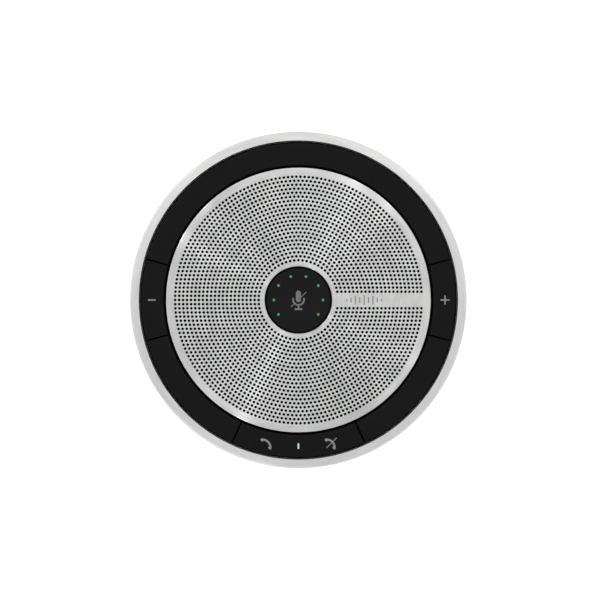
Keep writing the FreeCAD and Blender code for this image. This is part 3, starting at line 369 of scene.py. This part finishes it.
# %% Material: circuit board
def solder_mask(name, codes, roughness, specular):
    """Lacquer over copper tracks, which show through as slightly raised lines."""
    made = new_material(name)
    place = add(made, "TexCoord").outputs["Object"]
    tracks = add(made, "TexBrick", {"offset": 0.37, "squash": 1.6}, Vector=place, Scale=per_metre(1.4),
                 Color1=grey(0.0), Color2=grey(0.25), Mortar=grey(1.0), Mortar_Size=0.09)
    tint = add(made, "ValToRGB", {"stops": [(0.2, colour(codes[0])), (0.8, colour(codes[1]))]},
               Fac=tracks.outputs["Color"]).outputs["Color"]
    bump = add(made, "Bump", Strength=0.5, Distance=0.03 * MM, Height=tracks.outputs["Color"])
    shader = add(made, "BsdfPrincipled", Base_Color=tint, Roughness=roughness, IOR=1.52,
                 Specular_IOR_Level=specular, Normal=bump.outputs["Normal"])
    add(made, "OutputMaterial", Surface=shader.outputs["BSDF"])
    return made


# %% Material: wound wire
def banded(name, codes, roughness, step_mm, depth_mm):
    """Fine rings one above the other, such as wire wound on a former."""
    made = new_material(name)
    place = add(made, "TexCoord").outputs["Object"]
    turns = add(made, "TexWave", {"bands_direction": "Z"}, Vector=place, Scale=bands_per_metre(step_mm),
                Distortion=0.4, Detail=1.0)
    tint = add(made, "ValToRGB", {"stops": [(0.1, colour(codes[0])), (0.9, colour(codes[1]))]},
               Fac=turns.outputs["Fac"]).outputs["Color"]
    bump = add(made, "Bump", Strength=0.6, Distance=depth_mm * MM, Height=turns.outputs["Fac"])
    shader = add(made, "BsdfPrincipled", Base_Color=tint, Metallic=1.0, Roughness=roughness,
                 Normal=bump.outputs["Normal"])
    add(made, "OutputMaterial", Surface=shader.outputs["BSDF"])
    return made


# %% Material: light pipes
def lit_acrylic(name, code, glow, strength):
    """Clear acrylic lit from behind, with a faint frost that makes its light a little uneven."""
    made = new_material(name)
    place = add(made, "TexCoord").outputs["Object"]
    frost = add(made, "TexNoise", Vector=place, Scale=per_metre(0.25), Detail=2.0)
    light = add(made, "ValToRGB",
                {"stops": [(0.3, tuple(v * 0.85 for v in colour(glow)[:3])), (0.7, colour(glow))]},
                Fac=frost.outputs["Fac"]).outputs["Color"]
    shader = add(made, "BsdfPrincipled", Base_Color=colour(code), Roughness=0.3, IOR=1.49,
                 Emission_Color=light, Emission_Strength=strength)
    add(made, "OutputMaterial", Surface=shader.outputs["BSDF"])
    return made


# %% Build the material list
finishes = {
    "anodised_aluminium": rim_metal,
    "brushed_aluminium": grille_metal,
    "black_casing": moulded("spark_eroded_black_abs", "151516", 0.5, 0.3, 0.01, 0.2),
    "black_key": moulded("silky_black_abs", "0b0b0c", 0.45, 0.28, 0.004, 0.12),
    "dark_frame": moulded("glass_filled_abs", "050506", 0.6, 0.4, 0.01, 0.15),
    "foot_silicone": moulded("matte_silicone", "19191a", 0.75, 0.35, 0.01, 0.35),
    "dome_silicone": moulded("grey_silicone", "4a4a4c", 0.6, 0.3, 0.01, 0.4),
    "black_rubber": moulded("black_rubber", "131313", 0.7, 0.3, 0.02, 0.4),
    "components": moulded("moulded_epoxy", "1d1d1e", 0.5, 0.3, 0.01),
    "ferrite": moulded("sintered_ferrite", "3a3a3c", 0.65, 0.25, 0.015),
    "paper_cone": moulded("pressed_paper_pulp", "202021", 0.85, 0.6, 0.04, 0.3),
    "wire_cover": moulded("pvc_wire_cover", "222223", 0.45, 0.5, 0.01),
    "ribbon_film": moulded("black_polyimide_film", "100e0c", 0.35, 1.2, 0.005),
    "damper_cloth": moulded("resin_treated_cotton", "8d6a35", 0.85, 0.35, 0.05, 0.3, 0.25),
    "zinc_screw": rolled_metal("zinc_plated_steel", "c3c5c9", 0.32, 0.5),
    "plated_steel": rolled_metal("pressed_steel", "9b9da1", 0.4, 0.7),
    "mic_can": rolled_metal("nickel_plated_can", "c9c7c0", 0.28, 0.4),
    "circuit_board": solder_mask("green_solder_mask", ("0f3d22", "1c5c33"), 0.32, 0.5),
    "copper_winding": banded("enamelled_copper", ("8a4a24", "d9895a"), 0.3, 0.2, 0.05),
    "light_pipe": lit_acrylic("green_lit_acrylic", "0c2a16", "34bd58", 0.8),
    "led_lens": lit_acrylic("clear_epoxy_lens", "cfd8d2", "3cc463", 0.3),
}
print("finishes:", len(finishes))

# %% Nodes with a finish of their own
# The board and the mat that lie under the seams of the ring are painted near black with almost no sheen,
# as painted shade in the seams, so that no light shows through them.
own_finishes = {
    "status_light_pipe": lit_acrylic("white_lit_acrylic", "4a5052", "cfe6ea", 0.75),
    "key_board": solder_mask("seam_shade_solder_mask", ("020202", "050505"), 0.8, 0.05),
    "keypad_mat": moulded("seam_shade_silicone", "030303", 0.8, 0.3, 0.01, 0.05),
    "mute_button": moulded("dished_black_abs", "101011", 0.45, 0.28, 0.004, 0.13),
}

# %% Give every carried-over node its finish
for part in frame["record"]["subparts"]:
    node = frame["nodes"][part["node"]]
    finish = own_finishes.get(part["node"]) or finishes.get(part["material_slot"])
    if finish is None:
        print("replaced further on:", part["node"])
        continue
    node.data.materials.clear()
    node.data.materials.append(finish)

# %% [markdown]
# ## The turned shell
#
# The shell is one aluminium turning: a rim that slopes outwards, a rounded shoulder and a side that
# curves in to the base. A subdivision surface could smooth the solid's mesh, but it would soften the
# rim's edges too. Its profile is drawn once more with finer steps instead, so that the long soft
# highlight on the side stays smooth and the edges stay crisp.

# %% Turn the shell
shell_low, shell_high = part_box("outer_shell")
OUTER = 59.995 * MM       # a hair inside the solid's 60 mm
RIM_WIDTH, RIM_FALL, RIM_ROUND = 3.2 * MM, 0.8 * MM, 1.1 * MM
FOOT_RADIUS, WALL, BULGE = 52.0 * MM, 2.0 * MM, 1.8 * MM
DECK_DROP, LEDGE_WIDTH, LEDGE_DEPTH, WALL_DROP = 7.0 * MM, 1.8 * MM, 1.5 * MM, 5.1 * MM
foot_z = shell_low[2]
top_z = RIM_Z - RIM_FALL - RIM_ROUND
a, b = Vector((FOOT_RADIUS, foot_z)), Vector((OUTER, top_z))
chord = b - a
bow = (chord.length ** 2 / 4 + BULGE ** 2) / (2 * BULGE)
side_centre = (a + b) / 2 - Vector((chord.y, -chord.x)).normalized() * (bow - BULGE)


def side_points(radius, z_from, z_to, count):
    """Points on the side's arc, between two heights."""
    turns = [math.asin((z - side_centre.y) / radius) for z in (z_from, z_to)]
    return arc(side_centre, radius, math.degrees(turns[0]), math.degrees(turns[1]), count)


inner_rim = OUTER - RIM_WIDTH
deck_under = RIM_Z - DECK_DROP
profile = side_points(bow, foot_z, top_z, 40)
profile += arc((OUTER - RIM_ROUND, top_z), RIM_ROUND, 8, 84, 8)
# Two short facets break the rim's inner edge. Below it, a ledge carries the chassis.
profile += [(inner_rim + 0.25 * MM, RIM_Z - 0.05 * MM), (inner_rim + 0.08 * MM, RIM_Z - 0.02 * MM),
            (inner_rim, RIM_Z - 0.12 * MM), (inner_rim, deck_under), (inner_rim - LEDGE_WIDTH, deck_under),
            (inner_rim - LEDGE_WIDTH, deck_under - LEDGE_DEPTH)]
profile += side_points(bow - WALL, deck_under - WALL_DROP, foot_z, 20)
shell = finish_piece("turned_shell", turned(profile, 256), rim_metal, "housing")
map_round(shell)
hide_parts("outer_shell")

# %% [markdown]
# ## The acoustic cloth
#
# Behind the holes lies a black polyester mesh that keeps dust and spills off the loudspeaker. It is
# bonded under the grille, so it is a stretched sheet. Its threads are 0.24 mm apart, in plain weave.
# They could be modelled one by one, but at that size they would take a million faces to show less
# than a bump does, so the sheet is a turned ring and its weave is in the material.


# %% Material: woven acoustic mesh
THREAD_STEP = 0.24


def woven(name):
    """Two sets of threads at right angles, with painted shade that makes them darkest in the gaps between
    them.
    """
    made = new_material(name)
    place = add(made, "TexCoord").outputs["Object"]
    weave = {}
    for axis in "XY":
        weave[axis] = add(made, "TexWave", {"bands_direction": axis}, Vector=place,
                          Scale=bands_per_metre(THREAD_STEP), Distortion=0.3).outputs["Fac"]
    weave_and_gap_shade = add(made, "Math", {"operation": "MULTIPLY"}, i0=weave["X"], i1=weave["Y"])
    # The colour is painted darker in the gaps between the threads: this is painted shade.
    tint = add(made, "ValToRGB", {"stops": [(0.05, colour("010101")), (0.6, colour("060606"))]},
               Fac=weave_and_gap_shade.outputs["Value"]).outputs["Color"]
    bump = add(made, "Bump", Strength=0.6, Distance=0.04 * MM, Height=weave_and_gap_shade.outputs["Value"])
    shader = add(made, "BsdfPrincipled", Base_Color=tint, Roughness=0.9, Specular_IOR_Level=0.05,
                 Normal=bump.outputs["Normal"])
    add(made, "OutputMaterial", Surface=shader.outputs["BSDF"])
    return made


# %% Stretch the cloth under the grille
cloth_low, cloth_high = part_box("grille_cloth")
CLOTH, BOND = 0.3 * MM, 0.01 * MM
STRIPES = 14              # faces from the hole to the edge
cloth_inner, cloth_outer = 13.2 * MM, (cloth_high[0] - cloth_low[0]) / 2
ladder = [cloth_inner + (cloth_outer - cloth_inner) * k / STRIPES for k in range(STRIPES + 1)]
section = [(r, RIM_Z + crown(r) - SHEET - BOND) for r in ladder]
section += [(r, RIM_Z + crown(r) - SHEET - CLOTH) for r in ladder[::-1]]
cloth = finish_piece("acoustic_cloth", turned(section, 96), woven("woven_polyester_mesh"), "housing")
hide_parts("grille_cloth")

# %% [markdown]
# ## Printed symbols
#
# The symbols are pad-printed in grey ink, about 0.02 mm thick. They could be a painted texture, but
# geometry stays crisp at any distance. Each one is put together from two kinds of stroke: a straight
# bar with round or square ends, which starts as a grid square, and a bent bar, which is a short edge
# spun through an angle. Both are then given their thickness.

# %% Material: printing ink
def ink(name, code):
    """Ink with the faint speckle of the pad."""
    made = new_material(name)
    place = add(made, "TexCoord").outputs["Object"]
    speckle = add(made, "TexNoise", Vector=place, Scale=per_metre(0.3), Detail=2.0)
    base = colour(code)
    tint = add(made, "ValToRGB", {"stops": [(0.3, tuple(v * 0.92 for v in base[:3])), (0.7, base)]},
               Fac=speckle.outputs["Fac"]).outputs["Color"]
    bump = add(made, "Bump", Strength=0.3, Distance=0.01 * MM, Height=speckle.outputs["Fac"])
    shader = add(made, "BsdfPrincipled", Base_Color=tint, Roughness=0.5, Normal=bump.outputs["Normal"])
    add(made, "OutputMaterial", Surface=shader.outputs["BSDF"])
    return made


key_ink = ink("grey_pad_print", "808080")
mute_ink = ink("dark_grey_pad_print", "6a6a6a")
INK = 0.02 * MM


# %% Strokes
LEVEL = 0.003 * MM


def bar(bm, start, end, width, level=0, round_ends=False):
    """A flat straight stroke between two points, in millimetres. Strokes that cross differ in level."""
    a, b = Vector(start) * MM, Vector(end) * MM
    width *= MM
    length = (b - a).length + (width if round_ends else 0.0)
    turn = math.atan2(b.y - a.y, b.x - a.x)
    middle = (a + b) / 2
    place = Matrix.Translation((middle.x, middle.y, level * LEVEL)) @ Matrix.Rotation(turn, 4, "Z")
    size = Matrix.Diagonal((length / 2, width / 2, 1, 1))
    verts = bmesh.ops.create_grid(bm, x_segments=1, y_segments=1, size=1.0, matrix=place @ size)["verts"]
    if round_ends:
        # Just under half the width, so that neighbouring corners don't quite meet.
        bmesh.ops.bevel(bm, geom=verts, offset=width * 0.4999, offset_type="OFFSET", segments=7,
                        profile=0.5, affect="VERTICES", clamp_overlap=True, material=-1)


def bent_bar(bm, centre, radius, width, start_deg, end_deg, steps=20, level=0):
    """A flat stroke bent round a centre, in millimetres and degrees."""
    turn = math.radians(start_deg)
    out = Vector((math.cos(turn), math.sin(turn)))
    ends = [(Vector(centre) + out * (radius + side * width / 2)) * MM for side in (-1, 1)]
    verts = [bm.verts.new((end.x, end.y, level * LEVEL)) for end in ends]
    edge = bm.edges.new(verts)
    bmesh.ops.spin(bm, geom=verts + [edge], cent=(centre[0] * MM, centre[1] * MM, 0), axis=(0, 0, 1),
                   angle=math.radians(end_deg - start_deg), steps=steps)


def print_symbol(name, bm, at, surface_z, material, body):
    """Moves the strokes to a place in millimetres and gives them their thickness on the surface."""
    bmesh.ops.translate(bm, verts=bm.verts, vec=(at[0] * MM, at[1] * MM, 0))
    for face in bm.faces:
        face.normal_update()
        if face.normal.z < 0:
            face.normal_flip()
    made = bmesh.ops.extrude_face_region(bm, geom=bm.faces[:])
    risen = {item for item in made["geom"] if isinstance(item, bmesh.types.BMVert)}
    for vert in bm.verts:
        vert.co.z = surface_z(vert.co) + (INK + vert.co.z if vert in risen else -INK)
    bmesh.ops.recalc_face_normals(bm, faces=bm.faces)
    return finish_piece(name, bm, material, body)


# %% The microphone symbol on the mute button
mute_low, mute_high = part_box("mute_button")
DISH, DISH_RADIUS = 0.2 * MM, 10.0 * MM


def dish_z(place):
    """Height of the button's dished top."""
    return mute_high[2] - DISH * (1 - (math.hypot(place.x, place.y) / DISH_RADIUS) ** 2)


CAPSULE, STAND, FOOT_BAR, SLASH = 1.8, 0.62, 0.67, 0.3      # widths of the strokes
symbol = bmesh.new()
bar(symbol, (0.0, 0.14), (0.0, 2.45), CAPSULE, round_ends=True)
bent_bar(symbol, (0.05, 0.18), 1.96, STAND, 180, 360, 28)
bar(symbol, (-1.91, 0.18), (-1.91, 0.7), STAND)
bar(symbol, (2.01, 0.18), (2.01, 0.7), STAND)
bar(symbol, (0.05, -1.9), (0.05, -3.0), STAND, level=1)
bar(symbol, (-1.3, -3.25), (1.4, -3.25), FOOT_BAR)
bar(symbol, (-2.67, -2.5), (-1.35, -1.22), SLASH, level=2)
bar(symbol, (0.95, 1.03), (2.83, 2.83), SLASH, level=2)
print_symbol("microphone_symbol", symbol, (0, 0), dish_z, mute_ink, "mute_key")

# %% Plus and minus on the ring
key_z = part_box("call_key")[1][2]
KEY_CIRCLE, HANDSET_CIRCLE = 52.2, 52.4
PLUS_REACH, MINUS_REACH, SIGN = 1.6, 1.37, 0.5


def key_top(place):
    """The keys are flat, so every place on them is as high."""
    return key_z


plus = bmesh.new()
bar(plus, (-PLUS_REACH, 0), (PLUS_REACH, 0), SIGN)
bar(plus, (0, -PLUS_REACH), (0, PLUS_REACH), SIGN, level=1)
print_symbol("plus_symbol", plus, (KEY_CIRCLE, 0), key_top, key_ink, "volume_up")
minus = bmesh.new()
bar(minus, (-MINUS_REACH, 0), (MINUS_REACH, 0), SIGN)
print_symbol("minus_symbol", minus, (-KEY_CIRCLE, 0), key_top, key_ink, "volume_down")


# %% The two handsets
GRIP, CUP = 0.7, 1.08                 # widths of the strokes
ANSWER_AT, END_AT = 257.4, 282.6      # degrees round the ring


def handset(name, angle_deg, struck):
    """A bent grip with an ear cup and a mouth cup. The one that hangs up is struck through."""
    strokes = bmesh.new()
    bent_bar(strokes, (-1.46, -1.46), 2.95, GRIP, 0, 90, 18)
    bar(strokes, (-1.2, 1.56), (-1.82, 1.0), CUP, level=1)
    bar(strokes, (1.56, -1.2), (1.0, -1.82), CUP, level=1)
    if struck:
        bar(strokes, (-1.42, -1.5), (2.18, 2.05), SLASH, level=2)
    turn = math.radians(angle_deg)
    at = (HANDSET_CIRCLE * math.cos(turn), HANDSET_CIRCLE * math.sin(turn))
    print_symbol(name, strokes, at, key_top, key_ink, "call_rocker")


handset("answer_symbol", ANSWER_AT, False)
handset("end_symbol", END_AT, True)

# %% [markdown]
# ## The mark on the blank strip
#
# The strip without holes carries a small grey print. A generic sound wave stands there: nine upright
# bars that rise and fall, laid on the grille's crown. They are strokes like those of the keys, so
# that the print has the same ink and the same thickness.


# %% Sound wave
def grille_top(place):
    """Height of the grille's crowned top."""
    return RIM_Z + crown(math.hypot(place.x, place.y))


BAR_HEIGHTS = (0.9, 1.7, 2.9, 2.1, 3.4, 2.1, 2.9, 1.7, 0.9)
BAR_STEP, BAR_WIDTH = 1.55, 0.4
WAVE_AT = (23.4, -0.05)
wave = bmesh.new()
for step, height in enumerate(BAR_HEIGHTS):
    across = (step - len(BAR_HEIGHTS) // 2) * BAR_STEP
    bar(wave, (across, -height / 2), (across, height / 2), BAR_WIDTH)
print_symbol("sound_wave_print", wave, WAVE_AT, grille_top, ink("light_grey_pad_print", "7e7e80"),
             "housing")

# %% [markdown]
# ## Floor, camera and lights
#
# The speakerphone stands on a light table, a sheet of opal acrylic lit from below, so the ground
# stays white without a shadow. A white backdrop lit by lamps would do as well, but it would need
# more lamps than the object does. The camera looks straight down through a long lens, so that the
# ring stays a true circle. Narrow strip lamps give the radial streaks on the brushed metal, and
# soft boxes and a white tent do the rest.

# %% Floor
floor_bm = bmesh.new()
FLOOR_REACH = 6.0          # metres to each side
HAZE = 90.0                # millimetres across a patch of the acrylic's faint haze
bmesh.ops.create_grid(floor_bm, x_segments=1, y_segments=1, size=FLOOR_REACH)
floor_mesh = bpy.data.meshes.new("floor")
floor_bm.to_mesh(floor_mesh)
floor_bm.free()
floor = bpy.data.objects.new("floor", floor_mesh)
bpy.context.scene.collection.objects.link(floor)
table = new_material("backlit_opal_acrylic")
haze = add(table, "TexNoise", Vector=add(table, "TexCoord").outputs["Object"], Scale=per_metre(HAZE),
           Detail=2.0)
glow = add(table, "ValToRGB", {"stops": [(0.3, colour("ececec")), (0.7, colour("efefef"))]},
           Fac=haze.outputs["Fac"]).outputs["Color"]
shader = add(table, "BsdfPrincipled", Base_Color=colour("959595"), Roughness=0.7, Emission_Strength=1.0,
             Emission_Color=glow)
add(table, "OutputMaterial", Surface=shader.outputs["BSDF"])
floor.data.materials.append(table)
print("floor:", 2 * FLOOR_REACH, "m square")

# %% Camera
LENS, SENSOR = 250.0, 36.0
FRAME_WIDTH = 213.9 * MM
ASIDE = 0.57 * MM          # the object stands a little left of the middle
distance = FRAME_WIDTH * LENS / SENSOR
camera = bpy.data.objects.new("camera", bpy.data.cameras.new("camera"))
camera.data.lens = LENS
camera.data.sensor_width = SENSOR
camera.data.clip_end = 20.0
camera.location = (ASIDE, 0.0, top_z + distance)
bpy.context.scene.collection.objects.link(camera)
bpy.context.scene.camera = camera
print("camera", round(distance, 3), "m above the rim")


# %% Lights
def lamp(name, azimuth_deg, elevation_deg, reach, size, power):
    """A soft box of (width, height) in metres and of that many watts, aimed at the object."""
    data = bpy.data.lights.new(name, "AREA")
    data.shape = "RECTANGLE"
    data.size, data.size_y = size
    data.energy = power
    made = bpy.data.objects.new(name, data)
    azimuth, elevation = math.radians(azimuth_deg), math.radians(elevation_deg)
    made.location = (reach * math.cos(elevation) * math.cos(azimuth),
                     reach * math.cos(elevation) * math.sin(azimuth), reach * math.sin(elevation))
    made.rotation_euler = (Vector(AIM) - made.location).to_track_quat("-Z", "Y").to_euler()
    bpy.context.scene.collection.objects.link(made)


AIM = (0.0, 0.0, 0.02)
STRIP_ELEVATION, STRIP_REACH, STRIP_SIZE = 28, 1.2, (0.02, 0.25)
STRIPS = ((46.5, 0.7), (64.5, 0.3), (244.5, 1.1), (135.5, 0.8), (152.5, 1.0), (332.5, 0.3))
for number, (azimuth, power) in enumerate(STRIPS):
    lamp(f"strip_lamp_{number}", azimuth, STRIP_ELEVATION, STRIP_REACH, STRIP_SIZE, power)
BOX_REACH, BOX_SIZE = 1.1, (0.8, 0.5)
lamp("back_soft_box", 85, 56, BOX_REACH, BOX_SIZE, 0.7)
lamp("right_soft_box", 14, 70, BOX_REACH, BOX_SIZE, 0.4)
print("lamps:", len(bpy.data.lights))

# %% The white tent
# The tent has a dimmer opening overhead, which the camera looks through.
OPENING = Vector((0.05, -0.14, 1.0)).normalized()
world = bpy.data.worlds.new("studio_tent")
world.use_nodes = True
world.node_tree.nodes.clear()
around = add(world, "TexCoord").outputs["Generated"]
facing = add(world, "VectorMath", {"operation": "DOT_PRODUCT"}, i0=around, i1=OPENING)
tent = add(world, "ValToRGB", {"stops": [(0.80, colour("f9f9f9")), (0.985, colour("bcbcbc"))]},
           Fac=facing.outputs["Value"])
sky = add(world, "Background", Color=tent.outputs["Color"], Strength=1.0)
add(world, "OutputWorld", Surface=sky.outputs["Background"])
bpy.context.scene.world = world
bpy.context.scene.view_settings.view_transform = "Standard"
bpy.context.scene.view_settings.look = "None"
